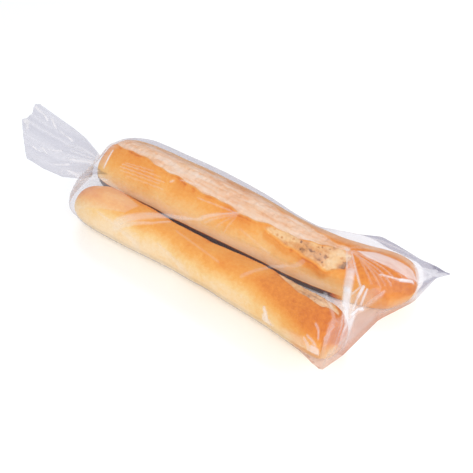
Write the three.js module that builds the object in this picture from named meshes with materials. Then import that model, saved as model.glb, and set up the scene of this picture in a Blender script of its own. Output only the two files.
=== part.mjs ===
// A clear bag with two long loaves lying side by side in it, as one closed solid with the form
// of the film: a pleated fan tail, a gathered neck, the body over the loaves and a sealed end.
// Millimetres. +X runs along the bag to the sealed end, +Y to the rear, +Z up. The origin is on
// the surface that the bag lies on, under the middle of its box.
import * as THREE from 'three';

// Both loaves. Their tables run in even steps from the left end to the right end.
const LOAF_REAR = {
  left: -186, right: 198, y: [34, 34, 33.5, 34.2, 53.5], lean: 2, flat: 0.88,
  halfWidth: [36, 38.4, 36.9, 32.4, 35], halfHeight: [27.5, 30.6, 29.4, 27.3, 28.5],
  endPower: [18, 12],
};
const LOAF_FRONT = {
  left: -166, right: 167, y: [-35.7, -36.5, -38.7, -41.5, -51], lean: -51, flat: 0.97,
  halfWidth: [31, 32, 33, 34.5, 36], halfHeight: [22.8, 24, 22.2, 26, 29],
  endPower: [12, 17],
};
const FILM_MARGIN = 1.4;

// The film sinks between the loaves, stands off the rear loaf in a slack fold, and shows the
// raised ear that runs along that loaf.
const VALLEY_DEPTH = 24;
const VALLEY_SHARE = 0.55;
const SLACK = { start: -185, end: 95, height: 4.2, angle: 36 };
const EAR = { start: -185, end: 140, yStart: 34, yEnd: 14, height: 2.2, halfWidth: 7 };
const SLASH_DIP = 1.6;

// The sealed end: a thin edge on the ground that runs from the front corner to the rear one.
const SEAL = {
  y: [-69, -42, 17, 61, 92, 110], x: [161, 170, 179, 201.5, 207.5, 216],
  station: 188, thickness: 2.4, start: 40, flare: 100,
};
const BODY_STRIP = { frontY: -46, rearY: 66, thickness: 3 };
const STRIP_LEFT = -120;
const STAR = { x: 122, y: 41, spokes: 13, height: 1.5, reach: 80 };
// The rear flap: a loose edge of film that leaves the rear loaf and runs down to the seal.
const FLAP = {
  x: [40, 75, 100, 122, 142, 160, 184, 200, 216],
  y: [60, 66, 70, 74, 86, 94, 101, 106, 109],
  z: [24, 33, 38, 41, 38.5, 27, 14, 9, 2.4],
  radius: 1,
};

// The gathered neck beside the rear loaf's left end, and the fan that opens out beyond it. The
// fan's tables run from the neck to its far edge, which bows out.
const NECK = { x: -192, y: 20.5, z: 20, halfWidth: 15, halfHeight: 8, slant: -0.48 };
const TAIL = {
  share: [0, 0.18, 0.42, 0.74, 1],
  rearX: [-199, -226, -254, -291, -322], rearY: [35.5, 46, 55, 63, 70], rearZ: [20, 22, 20, 18, 16],
  frontX: [-185, -193, -216, -246, -273], frontY: [5.5, -3, -12, -12, -8],
  frontZ: [20, 17, 14, 12, 11],
  bowX: -17, bowY: -8, thickness: 4.4, pleats: 7, pleatHeight: 2.6,
};
const SHOULDER_PLEATS = { count: 9, height: 1.3, reach: 45 };
// The film round the front loaf's left end, drawn across to the neck.
const SHOULDER = { start: -150, end: -188.5, y: -22, z: 27, halfWidth: 27, halfHeight: 24 };

// Fineness of the surface: points across one side of the bag, and stations along it.
const ACROSS = 34;
const TAIL_STATIONS = 15;
const BODY_STATIONS = 54;
const DIRECTIONS = 60;

const clamp = (value, low, high) => Math.min(Math.max(value, low), high);
const mix = (a, b, t) => a + (b - a) * t;
const smooth = (t) => {
  const k = clamp(t, 0, 1);
  return k * k * (3 - 2 * k);
};
// Straight steps between the entries of a table.
function lookUp(x, places, values) {
  const k = clamp(places.findIndex((place) => place > x), 1, places.length - 1);
  const next = x >= places[places.length - 1] ? places.length - 1 : k;
  const t = clamp((x - places[next - 1]) / (places[next] - places[next - 1]), 0, 1);
  return mix(values[next - 1], values[next], t);
}
// A smooth curve through evenly spaced values, for u from -1 at the first to 1 at the last.
function along(values, u) {
  const last = values.length - 1;
  const place = (clamp(u, -1, 1) + 1) / 2 * last;
  const k = Math.min(Math.floor(place), last - 1);
  const t = place - k;
  const before = k > 0 ? values[k - 1] : 2 * values[0] - values[1];
  const after = k < last - 1 ? values[k + 2] : 2 * values[last] - values[last - 1];
  const slopeHere = (values[k + 1] - before) / 2;
  const slopeNext = (after - values[k]) / 2;
  const step = values[k + 1] - values[k];
  return values[k] + t * (slopeHere + t * (3 * step - 2 * slopeHere - slopeNext
    + t * (slopeHere + slopeNext - 2 * step)));
}
// A fold line: a rounded zigzag between -1 and 1.
const zigzag = (turns) => 0.8 * (2 / Math.PI) * Math.asin(Math.sin(2 * Math.PI * turns))
  + 0.2 * Math.sin(2 * Math.PI * turns);

// One loaf's cross-section at x: a leaning ellipse, flat where the loaf lay on its tray, that
// shrinks to nothing at the loaf's ends. It rests on the ground.
function loafSection(loaf, x) {
  const reach = (loaf.right - loaf.left) / 2 + FILM_MARGIN;
  const u = (x - (loaf.left + loaf.right) / 2) / reach;
  if (Math.abs(u) >= 1) {
    return null;
  }
  const power = loaf.endPower[u < 0 ? 0 : 1];
  const end = Math.sqrt(1 - Math.abs(u) ** power);
  const a = along(loaf.halfWidth, u);
  const b = along(loaf.halfHeight, u);
  const lean = THREE.MathUtils.degToRad(loaf.lean);
  const height = Math.hypot(a * Math.sin(lean), loaf.flat * b * Math.cos(lean));
  return {
    y: along(loaf.y, u),
    z: height * mix(1, end, 0.25) + FILM_MARGIN,
    a: (a + FILM_MARGIN) * end,
    b: (b + FILM_MARGIN) * end,
    lean,
  };
}

// How far an ellipse reaches in the direction (ny, nz).
function ellipseReach(e, ny, nz) {
  const along = e.a * (ny * Math.cos(e.lean) + nz * Math.sin(e.lean));
  const across = e.b * (nz * Math.cos(e.lean) - ny * Math.sin(e.lean));
  return e.y * ny + e.z * nz + Math.hypot(along, across);
}

// The top of an ellipse over y, or the ground where it doesn't reach.
function ellipseTop(e, y) {
  const c = Math.cos(e.lean);
  const s = Math.sin(e.lean);
  const p = (s / e.a) ** 2 + (c / e.b) ** 2;
  const q = (y - e.y) * c * s * (1 / e.a ** 2 - 1 / e.b ** 2);
  const r = (y - e.y) ** 2 * ((c / e.a) ** 2 + (s / e.b) ** 2) - 1;
  const root = q * q - p * r;
  return root < 0 ? 0 : e.z + (Math.sqrt(root) - q) / p;
}

// The film between the front loaf's left end and the neck, as an ellipse that moves over.
function shoulderSection(x) {
  const share = clamp((SHOULDER.start - x) / (SHOULDER.start - SHOULDER.end), 0, 1);
  const t = 1 - Math.sqrt(1 - share ** 3);
  return {
    y: mix(SHOULDER.y, NECK.y, t),
    z: mix(SHOULDER.z, NECK.z, t),
    a: mix(SHOULDER.halfWidth, NECK.halfWidth, t),
    b: mix(SHOULDER.halfHeight, NECK.halfHeight, t),
    lean: 0,
  };
}

// The thin strip of film that lies on the ground beside the loaves and becomes the seal. At
// the other end it narrows and rises into the neck.
function stripSection(x) {
  const t = clamp((x - SEAL.flare) / (SEAL.station - SEAL.flare), 0, 1);
  const flare = smooth(t) ** 1.5;
  const toNeck = smooth((STRIP_LEFT - x) / (STRIP_LEFT - SHOULDER.end));
  return {
    front: mix(mix(BODY_STRIP.frontY, SEAL.y[0], flare), NECK.y, toNeck),
    rear: mix(mix(BODY_STRIP.rearY, SEAL.y[SEAL.y.length - 1], flare), NECK.y, toNeck),
    thickness: mix(BODY_STRIP.thickness, SEAL.thickness, t),
    lift: (NECK.z - BODY_STRIP.thickness / 2) * toNeck,
    toNeck,
  };
}
const stripReach = (strip, ny, nz) => Math.max(strip.front * ny, strip.rear * ny)
  + nz * strip.lift + Math.max(nz, 0) * strip.thickness;

// How far the slack film stands off in the direction (ny, nz), most towards the rear and up.
function slackReach(x, ny, nz) {
  const along = (x - SLACK.start) / (SLACK.end - SLACK.start);
  const fade = smooth(along * 6) * smooth((1 - along) * 2);
  const facing = THREE.MathUtils.degToRad(SLACK.angle);
  return SLACK.height * fade * Math.max(0, ny * Math.cos(facing) + nz * Math.sin(facing)) ** 6;
}

// Where a body section lies: straight across, but turned into the slanted neck and the seal.
function bodyX(x, y) {
  const turn = smooth((x - SEAL.start) / (SEAL.station - SEAL.start));
  const atNeck = smooth((SHOULDER.start - x) / (SHOULDER.start - NECK.x)) ** 2;
  const offset = clamp(y - NECK.y, -NECK.halfWidth, NECK.halfWidth);
  return x + turn * (lookUp(y, SEAL.y, SEAL.x) - SEAL.station) + atNeck * NECK.slant * offset;
}

// The stations whose sections meet the flap's points.
const flapStations = FLAP.x.map((x, k) => {
  let station = x;
  for (let round = 0; round < 12; round += 1) {
    station += x - bodyX(station, FLAP.y[k]);
  }
  return station;
});
const flapSection = (x) => ({
  y: lookUp(x, flapStations, FLAP.y),
  z: lookUp(x, flapStations, FLAP.z),
  a: FLAP.radius,
  b: FLAP.radius,
  lean: 0,
});

// Low relief on the top of the body: the rear loaf's ear and slash, and the star of creases.
function topRelief(x, y) {
  const along = (x - EAR.start) / (EAR.end - EAR.start);
  const fade = smooth(along * 8) * smooth((1 - along) * 8);
  const offset = (y - mix(EAR.yStart, EAR.yEnd, along)) / EAR.halfWidth;
  const ear = EAR.height * Math.max(0, 1 - Math.abs(offset));
  const slash = SLASH_DIP * smooth(offset) * smooth(3.2 - offset);
  const away = Math.hypot(x - STAR.x, y - STAR.y);
  const spoke = zigzag(STAR.spokes * Math.atan2(y - STAR.y, x - STAR.x) / (2 * Math.PI));
  const near = smooth(away / 12) * smooth(1 - away / STAR.reach) * (x > STAR.x ? 1 : 0.3);
  return (ear - slash) * fade + STAR.height * spoke * near;
}

// A body section: the taut outline round the loaves, the strip and the neck, with its valley.
function bodySection(x) {
  const loaves = [LOAF_FRONT, LOAF_REAR]
    .map((loaf) => loafSection(loaf, bodyX(x, along(loaf.y, x / 200))))
    .filter((section) => section !== null);
  const strip = stripSection(x);
  const shapes = [...loaves];
  if (x < SHOULDER.start) {
    shapes.push(shoulderSection(x));
  }
  if (x > flapStations[0]) {
    shapes.push(flapSection(x));
  }
  const reach = (ny, nz) => slackReach(x, ny, nz)
    + Math.max(stripReach(strip, ny, nz), ...shapes.map((shape) => ellipseReach(shape, ny, nz)));
  const lines = Array.from({ length: DIRECTIONS }, (_, k) => {
    const angle = Math.PI * (k + 0.5) / DIRECTIONS;
    const ny = Math.cos(angle);
    const nz = Math.sin(angle);
    return { ny, nz, up: reach(ny, nz), down: reach(ny, -nz) };
  });
  const front = -reach(-1, 0);
  const rear = reach(1, 0);
  const nearNeck = smooth(1 - (x - NECK.x) / SHOULDER_PLEATS.reach);
  const top = (v) => {
    const y = mix(front, rear, (v + 1) / 2);
    const taut = Math.min(...lines.map((line) => (line.up - line.ny * y) / line.nz));
    const loaf = Math.max(0, ...loaves.map((section) => ellipseTop(section, y)));
    const gap = Math.max(taut - loaf, 0);
    const inside = smooth((1 - Math.abs(v)) * 5) * (1 - strip.toNeck)
      * smooth((SEAL.station - x) / 60);
    const sag = VALLEY_SHARE * VALLEY_DEPTH * (1 - Math.exp(-gap / VALLEY_DEPTH)) * inside;
    const pleat = SHOULDER_PLEATS.height * nearNeck * zigzag(SHOULDER_PLEATS.count * (v + 1) / 2);
    return taut - sag + pleat * (1 - v * v) + topRelief(bodyX(x, y), y) * inside;
  };
  const bottom = (v) => {
    const y = mix(front, rear, (v + 1) / 2);
    return Math.max(0, ...lines.map((line) => (line.ny * y - line.down) / line.nz));
  };
  const yOf = (v) => mix(front, rear, (v + 1) / 2);
  return { xOf: (v) => bodyX(x, yOf(v)), yOf, top, bottom };
}

// A tail section: from the neck's ellipse to a thin, wide, pleated and bowed edge.
function tailSection(t) {
  const at = (values) => lookUp(t, TAIL.share, values);
  const halfThickness = mix(NECK.halfHeight, TAIL.thickness / 2, smooth(t * 1.8));
  const roundness = (v) => Math.max(1 - Math.abs(v) ** mix(2, 9, smooth(t * 3)), 0) ** 0.5;
  const pleat = (v) => TAIL.pleatHeight * smooth(t * 2) * zigzag(TAIL.pleats * (v + 1) / 2)
    * (1 - v ** 8);
  const bow = (v) => Math.sin(Math.PI * (v + 1) / 2) * smooth(t) ** 1.4;
  const middle = (v) => mix(at(TAIL.frontZ), at(TAIL.rearZ), (v + 1) / 2) + pleat(v);
  return {
    xOf: (v) => mix(at(TAIL.frontX), at(TAIL.rearX), (v + 1) / 2) + TAIL.bowX * bow(v),
    yOf: (v) => mix(at(TAIL.frontY), at(TAIL.rearY), (v + 1) / 2) + TAIL.bowY * bow(v),
    top: (v) => middle(v) + halfThickness * roundness(v),
    bottom: (v) => middle(v) - halfThickness * roundness(v),
  };
}

// The loop of points round one section: the top from front to rear, then the bottom back.
function sectionLoop(section) {
  const loop = [];
  const place = (k, height) => {
    const v = -Math.cos(Math.PI * k / ACROSS);
    loop.push(new THREE.Vector3(section.xOf(v), section.yOf(v), height(v)));
  };
  const edge = (v) => (section.top(v) + section.bottom(v)) / 2;
  place(0, edge);
  for (let k = 1; k < ACROSS; k += 1) {
    place(k, section.top);
  }
  place(ACROSS, edge);
  for (let k = ACROSS - 1; k > 0; k -= 1) {
    place(k, section.bottom);
  }
  return loop;
}

// Skins a row of equal loops, and closes both ends by strips from the top edge to the bottom.
function skin(loops) {
  const around = loops[0].length;
  const index = [];
  const at = (station, k) => station * around + ((k + around) % around);
  for (let s = 0; s < loops.length - 1; s += 1) {
    for (let k = 0; k < around; k += 1) {
      index.push(at(s, k), at(s + 1, k + 1), at(s, k + 1));
      index.push(at(s, k), at(s + 1, k), at(s + 1, k + 1));
    }
  }
  const close = (station, outward) => {
    const face = (a, b, c) => index.push(...(outward ? [a, c, b] : [a, b, c]));
    face(at(station, 0), at(station, 1), at(station, -1));
    for (let k = 1; k < ACROSS - 1; k += 1) {
      face(at(station, k), at(station, k + 1), at(station, -k));
      face(at(station, k + 1), at(station, -k - 1), at(station, -k));
    }
    face(at(station, ACROSS - 1), at(station, ACROSS), at(station, -ACROSS + 1));
  };
  close(0, false);
  close(loops.length - 1, true);
  const geometry = new THREE.BufferGeometry();
  geometry.setFromPoints(loops.flat());
  geometry.setIndex(index);
  geometry.computeVertexNormals();
  return geometry;
}

// Stations lie closer together towards both ends of the body, where its form changes fastest.
function bagSections() {
  const sections = [];
  for (let k = 0; k < TAIL_STATIONS; k += 1) {
    sections.push(tailSection(1 - k / TAIL_STATIONS));
  }
  for (let k = 0; k <= BODY_STATIONS; k += 1) {
    const share = (1 - Math.cos(Math.PI * k / BODY_STATIONS)) / 2;
    const even = mix(k / BODY_STATIONS, share, 0.75);
    sections.push(bodySection(mix(NECK.x, SEAL.station, even)));
  }
  return sections;
}

function makeBag() {
  const film = new THREE.MeshStandardMaterial({ color: 0xd9a766, roughness: 0.25, metalness: 0 });
  const geometry = skin(bagSections().map(sectionLoop));
  geometry.computeBoundingBox();
  const box = geometry.boundingBox;
  geometry.translate(-(box.min.x + box.max.x) / 2, -(box.min.y + box.max.y) / 2, -box.min.z);
  const bag = new THREE.Mesh(geometry, film);
  bag.name = 'bag';
  return bag;
}

const bagOfLoaves = new THREE.Group();
bagOfLoaves.add(makeBag());

export default bagOfLoaves;
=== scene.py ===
"""A clear bag with two baguettes in it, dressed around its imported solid."""
import math

import bpy
import numpy as np
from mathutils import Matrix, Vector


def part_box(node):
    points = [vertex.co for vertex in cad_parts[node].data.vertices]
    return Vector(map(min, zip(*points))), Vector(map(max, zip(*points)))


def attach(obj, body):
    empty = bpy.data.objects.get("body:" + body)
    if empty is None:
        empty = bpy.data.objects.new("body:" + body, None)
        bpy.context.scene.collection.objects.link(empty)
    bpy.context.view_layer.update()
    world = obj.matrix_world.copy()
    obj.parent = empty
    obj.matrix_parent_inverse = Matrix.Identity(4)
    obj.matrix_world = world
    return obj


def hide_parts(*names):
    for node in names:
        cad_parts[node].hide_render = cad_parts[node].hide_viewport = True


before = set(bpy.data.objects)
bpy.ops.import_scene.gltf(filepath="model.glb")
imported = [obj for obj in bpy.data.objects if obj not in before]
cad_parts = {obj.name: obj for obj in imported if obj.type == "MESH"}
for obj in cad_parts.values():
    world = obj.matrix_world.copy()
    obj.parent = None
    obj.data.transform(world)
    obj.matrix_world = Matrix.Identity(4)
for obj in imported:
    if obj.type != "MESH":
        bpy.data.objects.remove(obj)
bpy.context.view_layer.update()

# ----------------------------
# The two loaves. Each is a long wheat loaf, shaped by hand, cut along its top with a blade and
# baked on a flat tray, so that its crust is dark beside the cuts, paler down the sides and
# palest below. Inside the cuts it is floury and open.
MM = 0.001
SEAL_CORNER = (216.0, 110.0)  # the solid's rear seal corner, in the bag's own millimetres
_, high_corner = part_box("bag")
PLACE = np.array([high_corner[0] - SEAL_CORNER[0] * MM, high_corner[1] - SEAL_CORNER[1] * MM, 0.0])

# Each loaf: its ends, its middle line's course across the bag, its section's lean in degrees and
# the share left below its middle, its half sizes, how blunt its ends are, its bake and how far
# from the top that reaches, how much paler its lower front is painted to lift the shade there,
# and the angles between which the crust that faces the other loaf is painted dark as shade.
REAR = dict(
    left=-186, right=198.5, y=(34, 34, 33.5, 34.2, 53.5), lean=2, flat=0.88,
    half_width=(36, 38.4, 36.9, 32.4, 35), half_height=(27.5, 30.6, 29.4, 27.3, 28.5),
    end_power=(18, 12), bake=0.50, pale=82, fade=0.10,
    crevice_shade_from=(174.5, 174.5, 178.5, 184), crevice_shade_to=235, seed=11,
)
FRONT = dict(
    left=-166, right=172, y=(-35.7, -36.5, -38.7, -41.5, -51), lean=-51, flat=0.97,
    half_width=(31, 32, 33, 34.5, 36), half_height=(24.6, 24.3, 22.2, 26, 29),
    end_power=(12, 17), bake=0.52, pale=120, fade=0,
    crevice_shade_from=(-50, -50, -50, -50), crevice_shade_to=-2, seed=23,
)
# The painted shade where the loaves face each other: the places along them at which its start
# angles are given, and where it ends.
CREVICE_SHADE_PLACES = (-60, 5, 50, 110)
CREVICE_SHADE_END = 148.0  # past this place the loaves bend away from each other
FULLNESS = 2.3  # the front halves of the sections are this superellipse
REST_HEIGHT = 0.5  # the film's thickness under the loaves, with its slack

# The bag's seal: its course over the ground with its heights, and the places along the bag from
# which the film turns, flares and lifts towards it. The loaves' ends press against it.
SEAL = dict(y=(-69, -42, 12, 47, 92, 110), x=(161, 170, 180.5, 201.5, 207, 215.5),
            z=(0, 0, 5, 12, 8, 1), station=188, start=40, flare=100, lift_start=166)
SEAL_GAP, SEAL_SOFTNESS = 1.2, 0.8

# Each cut: its course along the loaf, then the angles round the loaf of its front and rear edge.
REAR_CUTS = [
    dict(x=(-192, -150, -60, 20, 95, 128), front=(80, 91, 105, 110, 97, 84),
         rear=(60, 40, 48, 48, 60, 80), lip=1.7, flour=1),
    dict(x=(30, 45, 70, 95, 118, 134), front=(112, 116, 122, 130, 136, 126),
         rear=(110, 104, 97, 92, 84, 92), lip=2.2, flour=0.25),
]
FRONT_CUTS = [
    dict(x=(-150, -100, 0, 60, 80), front=(84, 104, 106, 100, 90), rear=(80, 62, 64, 70, 88),
         lip=1.6, flour=0.7),
    dict(x=(64, 74, 99, 118, 144, 160), front=(92, 103, 127, 133, 138, 118),
         rear=(88, 76, 66, 64, 74, 112), lip=2, flour=0.3),
]
CUT_EDGE, CUT_RUN_OUT = 2.5, 14.0  # over which a cut opens, across it and at its ends
LIP_INNER, LIP_OUTER = 1.3, 6.5  # how far a lip falls off into the cut and over the crust
WAVER = ((1.6, 9, 1), (1.1, 3.7, 2))  # the edges' two waves: height, length and turn by cut
# The dark lines that bake along a cut's front and rear edge: how far outside it, width, strength.
FRONT_LINES = ((1.4, 2.6, 1), (3, 8, 0.84))
REAR_LINE = (0.8, 2.2, 0.7)

# How far the parts of the crust's relief stand out or in, in millimetres.
RELIEF = dict(dent=0.9, sink=0.4, crumb=0.8, pore_level=0.55, pore=2.2, blister=0.10, cut=1.5,
              swell=0.5)
TIP_FADE, LEAST_LENGTH = 14.0, 6.0  # it fades out where the loaf is thinner

# The crust's bake: its palest value and the angle over which it gets there, the shares of its
# patches, the browner rear side and ends, the ceiling that it hardly passes, the darker edges and
# toasted spots of the cuts, and the painted shade in the pores of their crumb.
BAKE = dict(pale=0.08, pale_over=62, broad=0.10, patch=0.07, rear=0.16, right_reach=150,
            right=0.42, left_reach=22, left=0.12, ceiling=0.66, past_ceiling=0.2,
            cut_edge=0.74, toast=0.5, pore=0.42)
# The random patterns of both, on a cylinder round the loaf: cell size, seed and octaves.
NOISE_RADIUS = 28.0
DENTS, CRUMB, PORES, BLISTERS = (46, 0, 2), (3, 5, 3), (2.6, 9, 2), (1.9, 7, 2)
BROAD, PATCHY, TOASTED, FLOURY = (38, 3, 1), (17, 4, 3), (8, 10, 3), (12, 8, 1)
REAR_SIDE = (-30, 75, 40, 20)  # the angles of the rear side, and of its soft borders
# The lower front of a loaf is painted paler from this angle down, by its painted lift, to offset
# the shade that falls there.
LOW_FRONT, LOW_BORDER = 60.0, 25.0  # from here down the front can be paler
UNDERSIDE, UNDER_BORDER = 200.0, 110.0  # where the right end's browning dies away below
# How softly the painted shade on the crust that faces the other loaf begins and ends round the
# loaf, and over how far it runs out along it.
CREVICE_SHADE_BORDER, CREVICE_SHADE_RUN_OUT = 4.0, 25.0
DUST_ON_REAR, FLOUR_PATCH = 0.7, 0.25

LOAF_ROWS, LOAF_RING = 440, 200
LOAF_CROWDING = 0.38  # how far the rows crowd together towards the ends
TIP_ROWS, TIP_REACH, TIP_GAP = 14, 6.0, 0.02


def smooth(t):
    """Zero below 0, one above 1, and the smooth step 3tt - 2ttt between."""
    t = np.clip(t, 0.0, 1.0)
    return t * t * (3.0 - 2.0 * t)


def rise(x, start, end):
    """The smooth step from zero at start to one at end, on either side of it."""
    return smooth((x - start) / (end - start))


def mix(a, b, t):
    """The value that lies the share t of the way from a to b."""
    return a + (b - a) * t


def between(value, low, high, low_border, high_border):
    """One between low and high, falling smoothly to zero at both over the given borders."""
    return smooth((value - low) / low_border) * smooth((high - value) / high_border)


NOISE_TABLE = (29, 31, 37)  # after so many cells the noise repeats


def value_noise(points, cell, seed):
    """Random values at the corners of cubes of that size, blended smoothly inside each cube.

    points is (..., 3) in millimetres, and the result lies between -1 and 1."""
    table = np.random.default_rng(seed).random(NOISE_TABLE) * 2.0 - 1.0
    scaled = points / cell + 500.0
    corner = np.floor(scaled).astype(int)
    share = smooth(scaled - corner)
    total = 0.0
    for step in np.ndindex(2, 2, 2):
        near = np.moveaxis((corner + step) % NOISE_TABLE, -1, 0)
        weight = np.prod(np.where(step, share, 1.0 - share), axis=-1)
        total = total + weight * table[tuple(near)]
    return total


def rough_noise(points, cell, seed, octaves):
    """Value noise added to itself at half the size and half the height, octave by octave."""
    total = 0.0
    for octave in range(octaves):
        total = total + value_noise(points, cell / 2 ** octave, seed + octave) / 2 ** octave
    return total


def pattern(points, kind, loaf_seed):
    """One of the crust's random patterns, different for each loaf."""
    cell, seed, octaves = kind
    return rough_noise(points, cell, loaf_seed + seed, octaves)


def stack(*parts):
    """Arrays or single values, side by side along a new last axis."""
    return np.stack(np.broadcast_arrays(*parts), axis=-1)


def along(values, u):
    """A smooth curve through evenly spaced values, for u from -1 at the first to 1 at the last.

    Between two values it is the cubic whose slope at each is half the step between its
    neighbours."""
    padded = np.array([2 * values[0] - values[1], *values, 2 * values[-1] - values[-2]])
    place = (np.clip(u, -1, 1) + 1) / 2 * (len(values) - 1)
    index = np.minimum(np.floor(place).astype(int), len(values) - 2)
    t = place - index
    p, q, r, s = (padded[index + k] for k in range(4))
    return q + 0.5 * t * (r - p + t * (2 * p - 5 * q + 4 * r - s + t * (3 * (q - r) + s - p)))


def loaf_lines(loaf, x):
    """The middle line's y and z, and the half sizes of the section, at the places x.

    They follow smooth curves through five values, and close at the ends as a superellipse.
    The height is what makes the leaning, flattened section rest on the ground."""
    u = (x - (loaf["left"] + loaf["right"]) / 2) / ((loaf["right"] - loaf["left"]) / 2)
    power = np.where(u < 0, *loaf["end_power"])
    end = np.sqrt(np.maximum(1.0 - np.abs(np.clip(u, -1, 1)) ** power, 0.0))
    a, b = along(loaf["half_width"], u), along(loaf["half_height"], u)
    lean = math.radians(loaf["lean"])
    z = np.hypot(a * math.sin(lean), loaf["flat"] * b * math.cos(lean)) * (0.75 + 0.25 * end)
    return along(loaf["y"], u), z, a * end, b * end


def cut_fields(cuts, x, angle, radius):
    """Each point's share inside the cuts, its lift by their lips, their flour and dark edges.

    The share rises from 0 at a cut's edges to 1 over a few millimetres. A lip is a steep bank
    on the cut's front edge that runs out slowly over the crust. The dark edges are bell curves
    of the distance from an edge."""
    inside, lip, flour, edge_dark = (np.zeros_like(x) for _ in range(4))
    for number, cut in enumerate(cuts):
        front = np.interp(x, cut["x"], cut["front"])
        rear = np.interp(x, cut["x"], cut["rear"])
        waver = sum(height * np.sin(x / length + turn * number) for height, length, turn in WAVER)
        to_front = np.radians(front + waver - angle) * radius
        to_rear = np.radians(angle - rear + 2 * waver) * radius
        from_end = np.minimum(x - cut["x"][0], cut["x"][-1] - x)
        here = smooth(np.minimum(np.minimum(to_front, to_rear), from_end) / CUT_EDGE)
        ends = smooth(from_end / CUT_RUN_OUT)
        bank = np.exp(-(to_front / np.where(to_front > 0, LIP_INNER, LIP_OUTER)) ** 2)
        lip = np.maximum(lip, cut["lip"] * bank * ends)
        lines = [(to_front, *line) for line in FRONT_LINES] + [(to_rear, *REAR_LINE)]
        for away, offset, width, strength in lines:
            line = strength * ends * np.exp(-((away + offset) / width) ** 2)
            edge_dark = np.maximum(edge_dark, line)
        flour = np.where(here > inside, cut["flour"], flour)
        inside = np.maximum(inside, here)
    return inside, lip, flour, edge_dark


def crust_relief(seed, around, inside, lip, flour):
    """How far each point stands off the smooth section, and how deep its pores are.

    It is the sum of broad dents, the cuts' lips and their sunk and slightly swollen beds, the
    open crumb on those with its pores, and fine blisters on the crust."""
    dents = RELIEF["dent"] * pattern(around, DENTS, seed) - RELIEF["sink"]
    crumb = RELIEF["crumb"] * pattern(around, CRUMB, seed)
    pores = np.maximum(pattern(around, PORES, seed) - RELIEF["pore_level"], 0.0)
    blisters = pattern(around * (0.55, 1, 1), BLISTERS, seed)
    bed = RELIEF["swell"] * np.sin(np.pi * inside / 2) - RELIEF["cut"] * inside
    crumb = inside * (crumb - RELIEF["pore"] * pores * (1.1 - flour))
    return dents + lip + bed + crumb + RELIEF["blister"] * blisters * (1 - inside), pores


def crust_bake_and_shade(loaf, x, angle, around, inside, flour, edge_dark, pores):
    """The bake, from 0 for pale dough to 1 for burnt crust, with painted shade and light in it.

    It is golden from the cuts down to the shoulder, paler below, and browner on the rear side
    and towards the ends, up to a soft ceiling. The cuts' edges and their toasted crumb are darker.
    As painted shade the crumb's pores and the crust that faces the other loaf are darker too, and
    as painted light the lower front is paler by the loaf's painted lift."""
    from_top = np.abs((angle + 90.0) % 360.0 - 180.0)
    patch = pattern(around, PATCHY, loaf["seed"])
    broad = pattern(around, BROAD, loaf["seed"])
    golden = smooth((loaf["pale"] - from_top) / BAKE["pale_over"])
    bake = mix(BAKE["pale"], loaf["bake"], golden) + BAKE["broad"] * broad + BAKE["patch"] * patch
    bake = bake + BAKE["rear"] * between(angle, *REAR_SIDE)
    # Painted light: the lower front is made paler to lift the shade that falls on it.
    bake = bake - loaf["fade"] * smooth((from_top - LOW_FRONT) / LOW_BORDER) * (angle > 90)
    to_right = smooth(1.0 - (loaf["right"] - x) / BAKE["right_reach"]) ** 1.5
    to_left = smooth(1.0 - (x - loaf["left"]) / BAKE["left_reach"])
    above = smooth((UNDERSIDE - from_top) / UNDER_BORDER)
    bake = bake + BAKE["right"] * to_right * above + BAKE["left"] * to_left
    past = np.maximum(bake - BAKE["ceiling"], 0)
    bake = np.minimum(bake, BAKE["ceiling"] + BAKE["past_ceiling"] * past)
    uneven = mix(0.8, 1.0, smooth(2 * patch + 0.6))
    bake = np.maximum(bake, BAKE["cut_edge"] * edge_dark * uneven)
    # Painted shade: the crust that faces the other loaf is made dark, as the crevice between them
    # would be in shade.
    start = np.interp(x, CREVICE_SHADE_PLACES, loaf["crevice_shade_from"])
    facing = between(angle, start, loaf["crevice_shade_to"], CREVICE_SHADE_BORDER, CREVICE_SHADE_BORDER)
    bake = np.maximum(bake, facing * smooth((CREVICE_SHADE_END - x) / CREVICE_SHADE_RUN_OUT))
    toasted = pattern(around * (0.6, 1, 1), TOASTED, loaf["seed"])
    crumb = BAKE["toast"] * (1.1 - flour) * toasted
    # Painted shade: the crumb is darker in its pores, as their hollows would be in shade.
    crumb = crumb + BAKE["pore"] * (1.15 - flour) * smooth(pores * 6.0)
    return np.clip(bake + inside * crumb, 0.0, 1.0)


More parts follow.
